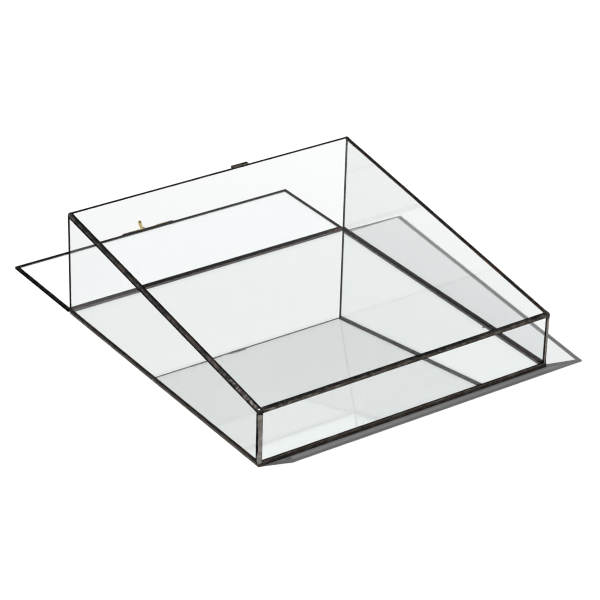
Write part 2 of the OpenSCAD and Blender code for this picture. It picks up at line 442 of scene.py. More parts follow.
def slab_into(bm, pane, bevel):
    """A flat slab with its long corners taken off"""
    wide = pane.corners
    narrow = drawn_in(pane.corners, pane.normal, bevel)
    top = pane.normal * pane.thickness
    step = pane.normal * bevel
    rings = [
        narrow,
        [c + step for c in wide],
        [c + top - step for c in wide],
        [c + top for c in narrow],
    ]
    loft_capped(bm, rings)


def foil_profile(thick, foil_t, lap):
    """Section of the folded foil. Each point is how far in it lies from the edge, how
    high, whether it wanders with the lap on the upper or lower face, and the material
    of the face after it: 0 outside, 1 on the glued side, 2 on the outer edge"""
    fold = FOIL_FOLD
    return [
        (lap, thick - 0.8 * foil_t, 1, 0),
        (0.82 * lap, thick - 0.25 * foil_t, 1, 0),
        (0.5 * lap, thick, 0, 0),
        (fold, thick, 0, 2),
        (0.3 * fold, thick - 0.3 * fold, 0, 2),
        (0, thick - fold, 0, 2),
        (0, fold, 0, 2),
        (0.3 * fold, 0.3 * fold, 0, 2),
        (fold, 0, 0, 0),
        (0.5 * lap, 0, 0, 0),
        (0.82 * lap, 0.25 * foil_t, -1, 0),
        (lap, 0.8 * foil_t, -1, 1),
        (lap, foil_t, -1, 1),
        (foil_t, foil_t, 0, 1),
        (foil_t, thick - foil_t, 0, 1),
        (lap, thick - foil_t, 1, 1),
    ]


def foil_into(bm, pane, foil_t, lap, waver, seed):
    """Foil folded round the edge of a pane; its lap wanders a little over the glass"""
    profile = foil_profile(pane.thickness, foil_t, lap)
    outlines = [drawn_in(pane.corners, pane.normal, inset) for inset, *_ in profile]
    rings = []
    travelled = 0
    for k, corner in enumerate(pane.corners):
        side = pane.corners[(k + 1) % len(pane.corners)] - corner
        inward = pane.normal.cross(side.normalized())
        steps = max(2, math.ceil(side.length / (3 * MM)))
        for step in range(steps):
            t = step / steps
            place = travelled + side.length * t
            # The lap keeps still at the corners of the pane
            window = min(1, 12 * t, 12 * (1 - t))
            ring = []
            for (_, height, lap_side, _), outline in zip(profile, outlines):
                start = outline[k]
                end = outline[(k + 1) % len(outline)]
                shift = 0
                if lap_side:
                    shift = -waver * window * uneven(place, 9 * MM, seed + lap_side)
                ring.append(start.lerp(end, t) + inward * shift + pane.normal * height)
            rings.append(ring)
        travelled += side.length
    loft_closed(bm, rings, [material for *_, material in profile])


def make_pane(name):
    """A clear pane, bonded to the foil that holds it"""
    work = bpy.context.scene.glass_box_work
    glass_node, _, body = PANES[name]
    bm = bmesh.new()
    slab_into(bm, pane_of(glass_node).grown(work.bond), GLASS_BEVEL)
    finish_piece(name + "_pane", bm, [clear_glass()], glass_node, body, 20)


def make_edging(name, glass_node, foil_node, body, seed, lap, underside, edge=None):
    """The foil round a pane; underside is the side that is glued to the glass, and edge
    the outer edge where it differs from the faces"""
    work = bpy.context.scene.glass_box_work
    foil_t = foil_thickness(glass_node, foil_node)
    pane = pane_of(glass_node).grown(foil_t)
    bm = bmesh.new()
    foil_into(bm, pane, foil_t, lap, work.foil_waver, seed)
    materials = [patina_foil(), underside, edge or patina_foil()]
    finish_piece(name + "_edging", bm, materials, foil_node, body)


def make_edgings():
    """The foil of all panes and of the floor"""
    work = bpy.context.scene.glass_box_work
    lap = foil_lap()
    for number, (name, (glass_node, foil_node, body)) in enumerate(PANES.items()):
        wide, underside = lap, copper_foil()
        if name == "door":
            wide, underside = work.door_lap, black_foil()
        elif name in ("left", "right"):
            wide = lap + work.side_lap
        seed = 100.0 + 9 * number
        make_edging(name, glass_node, foil_node, body, seed, wide, underside)
    make_edging(
        "floor", "floor_mirror", "floor_foil", "box", 190.0, lap, copper_foil(),
        foot_solder(),
    )


# ---- solder beads along the seams ----


def inner_lines():
    """Ends of the lines along the inside of the left pane where seams run: the front
    low and high, then the back low and high"""
    foil_t = foil_thickness("left_glass", "left_foil")
    side = pane_of("left_glass").grown(foil_t)
    inner_x = max((c + side.normal * h).x for c in side.corners for h in (0, side.thickness))
    ends = [Vector((inner_x, c.y, c.z)) for c in side.corners]
    return sorted(ends, key=lambda c: (c.y, c.z))


def foil_lap():
    """Width of the foil that shows on the face of a pane"""
    front_high = inner_lines()[1]
    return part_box("top_seam_left")[1].x - front_high.x


def arc_points(first, last, outward, count, radius_at, wander):
    """Points on an arc about the origin, from first to last by way of outward. wander
    moves the points between them along the arc"""
    across = first.normalized()
    up = (outward - across * outward.dot(across)).normalized()
    sweep = math.atan2(last.dot(up), last.dot(across)) % (2 * math.pi)
    points = []
    for k in range(count + 1):
        angle = sweep * (k / count + wander * math.sin(math.pi * k / count))
        radius = radius_at(k / count)
        points.append((across * math.cos(angle) + up * math.sin(angle)) * radius)
    return points


def bead_into(bm, start, end, first, last, outward, inside, seed, bands, steps=BEAD_STEPS):
    """A bead of solder along a line. first and last are where its round ends on the two
    foils, and inside are the points that close its section. bands tells how far round
    the bead each material goes"""
    work = bpy.context.scene.glass_box_work
    line = end - start
    radius = first.length
    swell_length = work.swell_length
    rings = []
    for place in bead_places(line.length):
        swell = uneven(place, swell_length, seed)
        ripple = uneven(place, 0.27 * swell_length, seed + 7.3)
        from_end = min(place, line.length - place) - BEAD_RUN
        near_end = math.exp(-(max(0, from_end) / (3 * MM)) ** 2)

        def radius_at(t):
            """Radius of this ring at a share of its round"""
            lump = uneven(place + 4 * MM * t, 0.4 * swell_length, seed + 3 * t + 2)
            shrink = work.solder_swell * (0.55 * swell + 0.2 * ripple + 0.25 * lump)
            blob = work.corner_blob * math.sin(math.pi * t) ** 0.7
            return radius * (1 - shrink * (1 - near_end) + blob * near_end)

        wander = WANDER * (uneven(place, 5 * MM, seed + 5) - 0.5)
        arc = arc_points(first, last, outward, steps, radius_at, wander)
        centre = start + line * (place / line.length)
        rings.append([centre + p for p in arc + inside])
    materials = []
    for k in range(len(rings[0])):
        share = (k + 0.5) / steps
        materials.append(next((index for limit, index in bands if share < limit), 1))
    loft_capped(bm, rings, materials)


def bead_places(length):
    """Where the rings of a bead lie, closer together near its ends"""
    close = 3 * BEAD_RUN
    ends = [close * k / END_RINGS for k in range(END_RINGS)]
    steps = math.ceil((length - 2 * close) / RING_STEP)
    middle = [close + (length - 2 * close) * k / steps for k in range(steps + 1)]
    return ends + middle + [length - place for place in reversed(ends)]


def round_corner(bm, corner, beyond, radius):
    """Draws the mitred end of a bead in to a ball about the corner. beyond points out
    of the bead's end"""
    low, high = CAD_BOX
    for v in bm.verts:
        away = v.co - corner
        if away.dot(beyond) > 0 and away.length > radius:
            v.co = corner + away * (radius / away.length)
        v.co = Vector([max(low[k], min(high[k], v.co[k])) for k in range(3)])


def darken_joint(bm, corner, reach):
    """Gives the lump of solder at a corner the third material"""
    for face in bm.faces:
        if (face.calc_center_median() - corner).length < reach:
            face.material_index = 2


def round_end(bm, end, beyond, depth, share):
    """Rounds off a bead that ends free, over a depth, by a share of its radius"""
    for v in bm.verts:
        away = v.co - end
        along = away.dot(beyond)
        if along > -depth:
            rim = 1 - share * (1 + along / depth) ** 2
            v.co = end + beyond * along + (away - beyond * along) * rim


def turned_up(degrees):
    """The direction up, turned about X"""
    return Matrix.Rotation(math.radians(degrees), 3, X) @ Z


def opposite(point):
    """The same point on the other side of the box"""
    return Vector((-point.x, point.y, point.z))


class Seams:
    """What the beads share. left, front and top lead from the inner arris of two foiled
    panes, where a seam's line runs, to the outer face of one"""

    def __init__(self):
        self.front_low, self.front_high, self.back_low, self.back_high = inner_lines()
        pane_t = self.front_high.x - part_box("left_foil")[0].x
        self.lap = foil_lap()
        self.slope = (self.back_high - self.front_high).normalized()
        self.top_normal = X.cross(self.slope)
        self.half_slope = math.degrees(math.atan2(self.slope.z, self.slope.y)) / 2
        self.left = -X * pane_t
        self.front = -Y * pane_t
        self.top = self.top_normal * pane_t
        self.radius = math.hypot(pane_t, self.lap)
        self.ball = self.radius * (1 + bpy.context.scene.glass_box_work.corner_blob)


def finish_bead(bead, seam, side, bm, materials):
    """Beads are made on the left, and turned over for the right"""
    if side == "right":
        mirrored(bm)
    finish_piece(bead + side, bm, materials, seam + side, "box")


def make_corner_bead(seams, side, seed):
    """Upright bead of a front corner, mitred to the beads of the top and the foot"""
    low, high = seams.front_low, seams.front_high
    bm = bmesh.new()
    bead_into(
        bm, low - Z * BEAD_RUN, high + Z * BEAD_RUN,
        seams.left + Y * seams.lap, seams.front + X * seams.lap, -X - Y,
        [seams.front, Vector(), seams.left], seed, CORNER_EDGES,
    )
    cut_away(bm, high, turned_up(seams.half_slope - 45))
    cut_away(bm, high, (X + Z).normalized())
    cut_away(bm, low, (Y - Z).normalized())
    cut_away(bm, low, (X - Z).normalized())
    round_corner(bm, high, Z, seams.ball)
    round_corner(bm, low, -Z, seams.radius)
    darken_joint(bm, high, LUMP_REACH * seams.radius)
    materials = [rubbed_solder(), patina_foil(), patina_solder()]
    finish_bead("corner_bead_", "corner_seam_", side, bm, materials)


def make_side_bead(seams, side, seed):
    """Bead of a sloping side edge, which ends free at the back"""
    low, high = seams.front_high, seams.back_high
    bm = bmesh.new()
    bead_into(
        bm, low - seams.slope * BEAD_RUN, high + seams.slope * BEAD_RUN,
        seams.left - seams.top_normal * seams.lap, seams.top + X * seams.lap,
        seams.top_normal - X, [seams.top, Vector(), seams.left], seed, SIDE_EDGES,
    )
    cut_away(bm, low, turned_up(seams.half_slope + 135))
    cut_away(bm, low, (X - seams.slope).normalized())
    cut_away(bm, high, Y)
    round_corner(bm, low, -seams.slope, seams.ball)
    round_end(bm, high, Y, depth=1.6 * MM, share=0.2)
    finish_bead("top_bead_", "top_seam_", side, bm, [side_solder(), patina_foil()])


def make_side_foot_bead(seams, side, seed):
    """Bead along the foot of a side"""
    low, high = seams.front_low, seams.back_low
    upper = seams.left + Z * seams.lap
    lower = seams.left - Z * seams.lap
    bm = bmesh.new()
    bead_into(
        bm, low - Y * BEAD_RUN, high + Y * BEAD_RUN, upper, lower, -X,
        [lower + X * FOOT_GRIP, upper + X * FOOT_GRIP], seed, FOOT_EDGES, FOOT_STEPS,
    )
    cut_away(bm, low, (Z - Y).normalized())
    cut_away(bm, high, Y)
    round_corner(bm, low, -Y, seams.radius)
    finish_bead("foot_bead_", "base_seam_", side, bm, [patina_solder(), patina_foil()])


def make_front_bead(seams):
    """Bead of the low front edge, mitred to the beads of both sides"""
    left, right = seams.front_high, opposite(seams.front_high)
    bm = bmesh.new()
    bead_into(
        bm, left - X * BEAD_RUN, right + X * BEAD_RUN,
        seams.front - Z * seams.lap, seams.top + seams.slope * seams.lap, Z - Y,
        [seams.top, Vector(), seams.front], 91.0, FRONT_PAINTED_LIGHT_BANDS,
    )
    for corner, side in ((left, -X), (right, X)):
        cut_away(bm, corner, (side - Z).normalized())
        cut_away(bm, corner, (side + seams.slope).normalized())
        round_corner(bm, corner, side, seams.ball)
        darken_joint(bm, corner, LUMP_REACH * seams.radius)
    # The lighter underside is partly a painted reflection of the table, and its lighter left
    # end a painted highlight
    materials = [handled_solder(), patina_foil(), patina_solder()]
    finish_bead("top_bead_", "top_seam_", "front", bm, materials)


def make_front_foot_bead(seams):
    """Bead along the foot of the front"""
    left, right = seams.front_low, opposite(seams.front_low)
    upper = seams.front + Z * seams.lap
    lower = seams.front - Z * seams.lap
    bm = bmesh.new()
    bead_into(
        bm, left - X * BEAD_RUN, right + X * BEAD_RUN, upper, lower, -Y,
        [lower + Y * FOOT_GRIP, upper + Y * FOOT_GRIP], 97.0, FOOT_EDGES, FOOT_STEPS,
    )
    for corner, side in ((left, -X), (right, X)):
        cut_away(bm, corner, (side + Z).normalized())
        round_corner(bm, corner, side, seams.radius)
    finish_bead("foot_bead_", "base_seam_", "front", bm, [foot_solder(), patina_foil()])


def make_seams():
    """All solder beads of the box"""
    seams = Seams()
    for side, seed in (("left", 11.0), ("right", 57.0)):
        make_corner_bead(seams, side, seed)
        make_side_bead(seams, side, seed + 3)
        make_side_foot_bead(seams, side, seed + 5)
    make_front_bead(seams)
    make_front_foot_bead(seams)


# ---- mirror floor ----


def make_mirror():
    """The floor: glass with silvering and paint on its back"""
    work = bpy.context.scene.glass_box_work
    pane = pane_of("floor_mirror").grown(work.bond)
    if pane.normal.z < 0:
        top = pane.normal * pane.thickness
        pane = Pane([c + top for c in reversed(pane.corners)], -pane.normal, pane.thickness)
    bm = bmesh.new()
    slab_into(bm, pane, SILVER_T / 2)
    finish_piece("mirror_glass", bm, [mirror_glass()], "floor_mirror", "box", 20)

    rise = pane.normal * SILVER_T
    low = [c + rise for c in drawn_in(pane.corners, pane.normal, SILVER_T)]
    bm = bmesh.new()
    loft_capped(bm, [low, [c + rise for c in low]])
    piece = finish_piece(
        "mirror_silvering", bm, [silvering(), backing_paint()], "floor_mirror", "box",
        20,
    )
    # Only the upper face is bright, and the rest is painted
    for face in piece.data.polygons:
        face.material_index = int(face.normal.z < 0.5)


# ---- tubes, rods and their solder, all along X ----


def spoke(k, sides):
    """One of the directions that stand evenly round X"""
    angle = 2 * math.pi * k / sides
    return Y * math.cos(angle) + Z * math.sin(angle)


def rod_radius():
    low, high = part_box("hinge_rod")
    return (high.z - low.z) / 2


def make_tube(name, node, body, material):
    """A tube that fills its node's box, with its sharp ends taken off"""
    low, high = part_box(node)
    centre = (low + high) / 2
    half = (high.x - low.x) / 2
    radius = (high.z - low.z) / 2
    bore = rod_radius() + PLAY
    profile = [
        (-half, radius - TUBE_CHAMFER), (TUBE_CHAMFER - half, radius),
        (half - TUBE_CHAMFER, radius), (half, radius - TUBE_CHAMFER),
        (half, bore), (-half, bore),
    ]
    rings = []
    for k in range(TUBE_SIDES):
        out = spoke(k, TUBE_SIDES)
        rings.append([centre + X * along + out * away for along, away in profile])
    bm = bmesh.new()
    loft_closed(bm, rings)
    finish_piece(name, bm, [material], node, body, 30)


def rod_into(bm, centre, half, radius):
    """A round rod with rounded ends"""
    stations = [(back * radius - half, wide * radius) for wide, back in ROD_END]
    stations += [(half - back * radius, wide * radius) for wide, back in reversed(ROD_END)]
    rings = []
    for along, away in stations:
        middle = centre + X * along
        rings.append([middle + spoke(k, ROD_SIDES) * away for k in range(ROD_SIDES)])
    loft_capped(bm, rings)


def fillet_into(bm, low, high, seed):
    """A lumpy strip of solder that fills a box and reaches along Y from a tube to the
    edge behind it. Its waist is a little narrower"""
    centre = (low + high) / 2
    half = (high - low) / 2
    steps = max(4, math.ceil(2 * half.x / FILLET_STEP))
    rings = []
    for step in range(steps + 1):
        place = 2 * half.x * step / steps
        ring = []
        for k in range(FILLET_SIDES):
            angle = 2 * math.pi * (k + 0.5) / FILLET_SIDES
            lump = uneven(place, 5 * MM, seed + k // (FILLET_SIDES // 2))
            # A circle that is flattened where it would go beyond the box
            u = max(-1, min(1, 1.25 * math.cos(angle)))
            v = max(-1, min(1, 1.25 * math.sin(angle)))
            wide = half.z * (1 - 0.28 * lump) * (1 - 0.16 * (1 - u * u))
            ring.append(centre + Vector((place - half.x, half.y * u, wide * v)))
        rings.append(ring)
    loft_capped(bm, rings)


def make_fillet(name, node, body, seed):
    bm = bmesh.new()
    low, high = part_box(node)
    fillet_into(bm, low, high, seed)
    finish_piece(name, bm, [patina_solder()], node, body, 50)


def make_hinge():
    """Rod, three tubes and the solder that holds them"""
    make_tube("left_hinge_knuckle", "hinge_tube_left", "box", red_brass())
    make_tube("right_hinge_knuckle", "hinge_tube_right", "box", red_brass())
    make_tube("door_hinge_knuckle", "door_hinge_tube", "door", black_tube())
    make_fillet("left_knuckle_solder", "hinge_solder_left", "box", 21.0)
    make_fillet("right_knuckle_solder", "hinge_solder_right", "box", 23.0)
    make_fillet("door_knuckle_solder", "door_hinge_solder", "door", 25.0)
    low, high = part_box("hinge_rod")
    bm = bmesh.new()
    rod_into(bm, (low + high) / 2, (high.x - low.x) / 2, rod_radius())
    finish_piece("hinge_pin", bm, [bright_brass()], "hinge_rod", "box", 30)


# ---- bolt, guides, keeper and wear strip ----


def handle_frame():
    """Where the bolt's handle stands: its foot on the rod's axis, the direction in
    which it points, its length, width and thickness, from the bolt's own points"""
    guide_low, guide_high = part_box("bolt_guide_left")
    axis = (guide_low + guide_high) / 2
    radius = (guide_high.z - guide_low.z) / 2
    points = [v.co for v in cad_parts["bolt"].data.vertices]
    beyond = [p for p in points if math.hypot(p.y - axis.y, p.z - axis.z) > 1.5 * radius]
    across = [p.x for p in beyond]
    foot = Vector(((min(across) + max(across)) / 2, axis.y, axis.z))
    sideways = sum((p - foot for p in beyond), Vector())
    pointing = Vector((0, sideways.y, sideways.z)).normalized()
    length = max((p - foot).dot(pointing) for p in beyond)
    through = [(p - foot).dot(X.cross(pointing)) for p in beyond]
    return foot, pointing, length, max(across) - min(across), max(through) - min(through)


def handle_outlines(tip_r, shoulder):
    """Three outlines of the flattened handle, as points across it and along it: its rim,
    the hole near its tip and the dark ring round the hole. shoulder is how far up
    the middle of the hole lies"""
    rim, hole, dark_ring = [], [], []
    for k in range(HANDLE_SIDES):
        angle = 2 * math.pi * k / HANDLE_SIDES
        across, along = math.cos(angle), math.sin(angle)
        hole.append((HOLE_R * across, shoulder + HOLE_R * along))
        dark_ring.append((DARK_RING_R * across, shoulder + DARK_RING_R * along))
        if along >= 0:
            rim.append((tip_r * across, shoulder + tip_r * along))
        else:
            wide = tip_r * (1 + (HANDLE_NECK - 1) * -along)
            side = math.copysign(min(wide, abs(across) * 3 * wide), across)
            rim.append((side, shoulder * (1 + along)))
    return rim, hole, dark_ring


def make_bolt():
    """Brass rod with a flattened handle that has a hole near its tip"""
    low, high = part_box("bolt")
    foot, pointing, length, width, thickness = handle_frame()
    bm = bmesh.new()
    centre = Vector(((low.x + high.x) / 2, foot.y, foot.z))
    rod_into(bm, centre, (high.x - low.x) / 2, rod_radius())
    for face in bm.faces:
        face.material_index = 2

    tip_r = HANDLE_SPREAD * width / 2
    shoulder = length - tip_r
    rim, hole, dark_ring = handle_outlines(tip_r, shoulder)
    flat = X.cross(pointing)
    bevel = 0.22 * thickness
    back = -thickness / 2
    front = thickness / 2
    # Outline, how far it is drawn in, and its height
    layers = [
        (hole, 0, back), (dark_ring, 0, back), (rim, bevel, back), (rim, 0, back + bevel),
        (rim, 0, front - bevel), (rim, bevel, front), (dark_ring, 0, front), (hole, 0, front),
    ]
    rings = []
    for outline, drawn, height in layers:
        ring = []
        for across, along in outline:
            from_hole = math.hypot(across, along - shoulder)
            scale = 1 - drawn / max(from_hole, tip_r)
            up = shoulder + (along - shoulder) * scale
            ring.append(foot + X * across * scale + pointing * up + flat * height)
        rings.append(ring)
    rod_faces = len(bm.faces)
    loft_closed(bm, rings)
    bm.faces.ensure_lookup_table()
    # The hole's wall and the rings round the hole are dark
    dark_layers = (0, len(layers) - 2, len(layers) - 1)
    for number in range(rod_faces, len(bm.faces)):
        layer = (number - rod_faces) // HANDLE_SIDES
        bm.faces[number].material_index = int(layer in dark_layers)
    materials = [bright_brass(), dark_brass(), aged_brass()]
    finish_piece("bolt_and_handle", bm, materials, "bolt", "bolt", 35)


def make_guides():
    """The two tubes on the door that the bolt slides in, and the keeper on the box"""
    make_tube("left_bolt_tube", "bolt_guide_left", "door", aged_brass())
    make_tube("right_bolt_tube", "bolt_guide_right", "door", aged_brass())
    make_tube("keeper_tube", "bolt_keeper", "box", dark_brass())
    bm = bmesh.new()
    solder_low, solder_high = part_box("guide_solder")
    for node, seed in (("bolt_guide_left", 31.0), ("bolt_guide_right", 33.0)):
        low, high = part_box(node)
        start = Vector((low.x, solder_low.y, solder_low.z))
        end = Vector((high.x, solder_high.y, solder_high.z))
        fillet_into(bm, start, end, seed)
    finish_piece("bolt_tube_solder", bm, [patina_solder()], "guide_solder", "door", 50)
    make_fillet("keeper_fillet", "keeper_solder", "box", 35.0)


def make_wear_strip():
    """Low ridge of solder on the top's back edge, under the handle"""
    normal = pane_of("top_glass").normal
    if normal.z < 0:
        normal = -normal
    up_slope = normal.cross(X)
    points = [v.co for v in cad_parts["wear_strip"].data.vertices]
    spans = []
    for axis in (X, up_slope, normal):
        values = [p.dot(axis) for p in points]
        spans.append((min(values), max(values)))
    (x0, x1), (u0, u1), (n0, n1) = spans
    sunk = n0 - 0.05 * MM
    rings = []
    for step in range(RIDGE_STEPS + 1):
        t = step / RIDGE_STEPS
        place = (x1 - x0) * t
        # Its ends run out over an eighth of its length
        full = math.sin(min(1, 8 * t, 8 * (1 - t)) * math.pi / 2)
        lump = 1 - 0.25 * uneven(place, 4 * MM, 41.0)
        rise = (n1 - n0) * (0.25 + 0.75 * full) * lump
        section = []
        for k in range(RIDGE_SIDES + 1):
            across = k / RIDGE_SIDES
            height = n0 + rise * math.sin(math.pi * across) ** 0.6
            section.append((u0 + (u1 - u0) * across, height))
        section += [(u1, sunk), (u0, sunk)]
        rings.append([X * (x0 + place) + up_slope * u + normal * n for u, n in section])
    bm = bmesh.new()
    loft_capped(bm, rings)
    finish_piece("wear_ridge", bm, [patina_solder()], "wear_strip", "box", 50)


# ---- shader nodes ----


def put(tree, kind, feeds=None, **settings):
    """A node with its settings. feeds gives what its inputs get, by name or number: a
    value, a colour of three numbers, or the output that they are joined to"""
    made = tree.nodes.new(kind)
    for key, value in settings.items():
        setattr(made, key, value)
    for key, value in (feeds or {}).items():
        socket = made.inputs[key]
        if isinstance(value, bpy.types.NodeSocket):
            tree.links.new(value, socket)
        elif socket.type == "RGBA":
            socket.default_value = (*value, 1)
        else:
            socket.default_value = value
    return made


def calculated(tree, operation, *values, clamp=False):
    """What a sum with one to three values comes to"""
    feeds = dict(enumerate(values))
    return put(tree, "ShaderNodeMath", feeds, operation=operation, use_clamp=clamp).outputs[0]


def mixed_colour(tree, factor, first, second):
    """The first colour where factor is 0, and the second where it is 1"""
    feeds = {"Factor": factor, 6: first, 7: second}
    return put(tree, "ShaderNodeMix", feeds, data_type="RGBA").outputs[2]


def mixed_value(tree, factor, first, second):
    """The same with plain values"""
    feeds = {"Factor": factor, 2: first, 3: second}
    return put(tree, "ShaderNodeMix", feeds, data_type="FLOAT").outputs[0]


def spread(tree, value, low, high, to_low, to_high, curve="SMOOTHSTEP"):
    """A value moved from the range low to high into the range to_low to to_high"""
    feeds = {"Value": value, "From Min": low, "From Max": high}
    feeds.update({"To Min": to_low, "To Max": to_high})
    return put(tree, "ShaderNodeMapRange", feeds, interpolation_type=curve).outputs["Result"]


def group_of(name, inputs, outputs, build):
    """The node group of that name. inputs gives the value that each input starts with,
    a number or a colour, outputs the kind of each output, and build what each gets"""
    group = bpy.data.node_groups.get(name)
    if group:
        return group
    group = bpy.data.node_groups.new(name, "ShaderNodeTree")
    for key, value in inputs.items():
        kind = "NodeSocketColor" if isinstance(value, tuple) else "NodeSocketFloat"
        made = group.interface.new_socket(name=key, in_out="INPUT", socket_type=kind)
        made.default_value = value
    for key, kind in outputs.items():
        group.interface.new_socket(name=key, in_out="OUTPUT", socket_type=kind)
    given = put(group, "NodeGroupInput").outputs
    put(group, "NodeGroupOutput", build(group, given))
    return group


def patina_group():
    """Colour, roughness and height of metal whose patina is uneven"""
    inputs = {
        "Dark": (0.1, 0.1, 0.1, 1), "Worn": (0.5, 0.5, 0.5, 1), "Warm": (0.3, 0.2, 0.15, 1),
        "Wear": 0.4, "Stain": 0.4, "Scale": 120.0, "Rough": 0.3,
    }
    outputs = {
        "Color": "NodeSocketColor", "Roughness": "NodeSocketFloat", "Height": "NodeSocketFloat",
    }

    def build(group, given):
        place = put(group, "ShaderNodeTexCoord").outputs["Object"]

        def noise_at(finer, detail, roughness):
            scale = calculated(group, "MULTIPLY", given["Scale"], finer)
            feeds = {"Vector": place, "Scale": scale, "Detail": detail, "Roughness": roughness}
            return put(group, "ShaderNodeTexNoise", feeds).outputs["Fac"]

        wear = spread(group, noise_at(1.0, 6, 0.62), 0.44, 0.66, 0, given["Wear"])
        stain = spread(group, noise_at(0.22, 3, 0.5), 0.42, 0.62, 0, given["Stain"])
        fine = noise_at(7.0, 4, 0.6)
        stained = mixed_colour(group, stain, given["Dark"], given["Warm"])
        grain = spread(group, fine, 0.3, 0.7, -0.07, 0.09, curve="LINEAR")
        return {
            "Color": mixed_colour(group, wear, stained, given["Worn"]),
            "Roughness": calculated(group, "ADD", grain, given["Rough"]),
            "Height": fine,
        }

    return group_of("Uneven patina", inputs, outputs, build)


def specks_group():
    """A mask of small scattered specks"""

    def build(group, given):
        place = put(group, "ShaderNodeTexCoord").outputs["Object"]
        feeds = {"Vector": place, "Scale": given["Scale"]}
        cells = put(group, "ShaderNodeTexVoronoi", feeds).outputs
        chance = put(group, "ShaderNodeSeparateColor", {0: cells["Color"]}).outputs
        kept = calculated(group, "LESS_THAN", chance[0], given["Share"])
        reach = calculated(group, "MULTIPLY", chance[1], given["Size"])
        near = calculated(group, "LESS_THAN", cells["Distance"], reach)
        return {"Mask": calculated(group, "MULTIPLY", kept, near)}

    inputs = {"Scale": 60.0, "Size": 0.05, "Share": 0.3}
    return group_of("Specks", inputs, {"Mask": "NodeSocketFloat"}, build)


def specks(tree, scale, size, share):
    """Mask of specks: how close the places for them are, the size of one, and the share
    of the places that have one"""
    feeds = {"Scale": scale, "Size": size, "Share": share}
    return put(tree, "ShaderNodeGroup", feeds, node_tree=specks_group()).outputs["Mask"]


# ---- materials ----


def material_of(name, build):
    """The material of that name; build makes its nodes and gives the shader's output"""
    material = bpy.data.materials.get(name)
    if material:
        return material
    material = bpy.data.materials.new(name)
    material.use_nodes = True
    tree = material.node_tree
    tree.nodes.clear()
    put(tree, "ShaderNodeOutputMaterial", {"Surface": build(tree)})
    return material


def toned(name, factor=1.0):
    """A colour of the finish settings, made darker or lighter"""
    return [factor * c for c in getattr(bpy.context.scene.glass_box_finish, name)]


def glass_material(name, tint, speck_scale, speck_size, speck_share):
    """Clear glass. Rays from lamps pass straight on, less what both faces throw back"""

    def build(tree):
        mask = specks(tree, speck_scale, speck_size, speck_share)
        glass = put(tree, "ShaderNodeBsdfPrincipled", {
            "Base Color": mixed_colour(tree, mask, tint, SPECK),
            "Roughness": 0.0, "IOR": GLASS_IOR, "Transmission Weight": 1.0,
        })
        behind = put(tree, "ShaderNodeNewGeometry").outputs["Backfacing"]
        index = mixed_value(tree, behind, GLASS_IOR, 1 / GLASS_IOR)
        thrown_back = put(tree, "ShaderNodeFresnel", {"IOR": index}).outputs[0]
        # Light that strikes nearly along the pane is lost faster than the mirroring says
        loss = calculated(tree, "MULTIPLY_ADD", thrown_back, SHADOW_LOSS_RISE, SHADOW_LOSS)
        lost = calculated(tree, "MULTIPLY", thrown_back, loss, clamp=True)
        passed = mixed_colour(tree, lost, [c ** 0.5 for c in tint], (0, 0, 0))
        straight = put(tree, "ShaderNodeBsdfTransparent", {"Color": passed})
        to_lamp = put(tree, "ShaderNodeLightPath").outputs["Is Shadow Ray"]
        feeds = {0: to_lamp, 1: glass.outputs[0], 2: straight.outputs[0]}
        return put(tree, "ShaderNodeMixShader", feeds).outputs[0]

    return material_of(name, build)


def clear_glass():
    """Glass of the clear panes"""
    return glass_material("pane_glass", toned("glass_tint"), 48, 0.035, 0.35)


def mirror_glass():
    """Glass over the silvering"""
    return glass_material("mirror_glass", toned("mirror_tint"), 40, 0.03, 0.3)


def silvering():
    """The mirror's silver, seen through its glass"""

    def build(tree):
        spotted = mixed_colour(tree, specks(tree, 30, 0.05, 0.35), toned("silver"), SILVER_SPOT)
        feeds = {"Base Color": spotted, "Metallic": 1.0, "Roughness": 0.0}
        return put(tree, "ShaderNodeBsdfPrincipled", feeds).outputs[0]

    return material_of("silvering", build)


def backing_paint():
    """Grey paint over the back of the silvering"""

    def build(tree):
        place = put(tree, "ShaderNodeTexCoord").outputs["Object"]
        cloud = put(tree, "ShaderNodeTexNoise", {"Vector": place, "Scale": 35}).outputs["Fac"]
        shade = mixed_colour(tree, cloud, (0.20, 0.205, 0.21), (0.27, 0.275, 0.28))
        feeds = {"Base Color": shade, "Roughness": 0.6}
        return put(tree, "ShaderNodeBsdfPrincipled", feeds).outputs[0]

    return material_of("backing_paint", build)


def metal_material(
    name, dark, worn, warm, wear, stain, scale, rough, bump, edge=1.0, rise=None, metallic=1.0
):
    """A metal under an uneven patina: dark where it is whole, worn where it is rubbed
    and warm where it is stained. edge is how much it mirrors at a low angle. rise makes
    it more worn, and so lighter, along an axis: the axis, where the wear is greatest, where
    it is least and how great it gets; this lightening is partly a painted highlight.
    metallic is less where a dull oxide covers it"""

    def build(tree):
        wear_and_highlight_share = wear
        # Extra wear along an axis lightens the metal; where it is used, this is partly a
        # painted highlight
        if rise:
            axis, most_at, least_at, most = rise
            place = put(tree, "ShaderNodeTexCoord").outputs["Object"]
            along = put(tree, "ShaderNodeSeparateXYZ", {0: place}).outputs[axis]
            wear_and_highlight_share = spread(tree, along, most_at, least_at, most, wear)
        patina = put(tree, "ShaderNodeGroup", {
            "Dark": dark, "Worn": worn, "Warm": warm, "Wear": wear_and_highlight_share, "Stain": stain,
            "Scale": scale, "Rough": rough,
        }, node_tree=patina_group()).outputs
        feeds = {"Strength": bump, "Distance": RELIEF, "Height": patina["Height"]}
        relief = put(tree, "ShaderNodeBump", feeds)
        return put(tree, "ShaderNodeBsdfPrincipled", {
            "Base Color": patina["Color"], "Roughness": patina["Roughness"],
            "Metallic": metallic, "Specular Tint": (edge, edge, edge),
            "Normal": relief.outputs[0],
        }).outputs[0]

    return material_of(name, build)


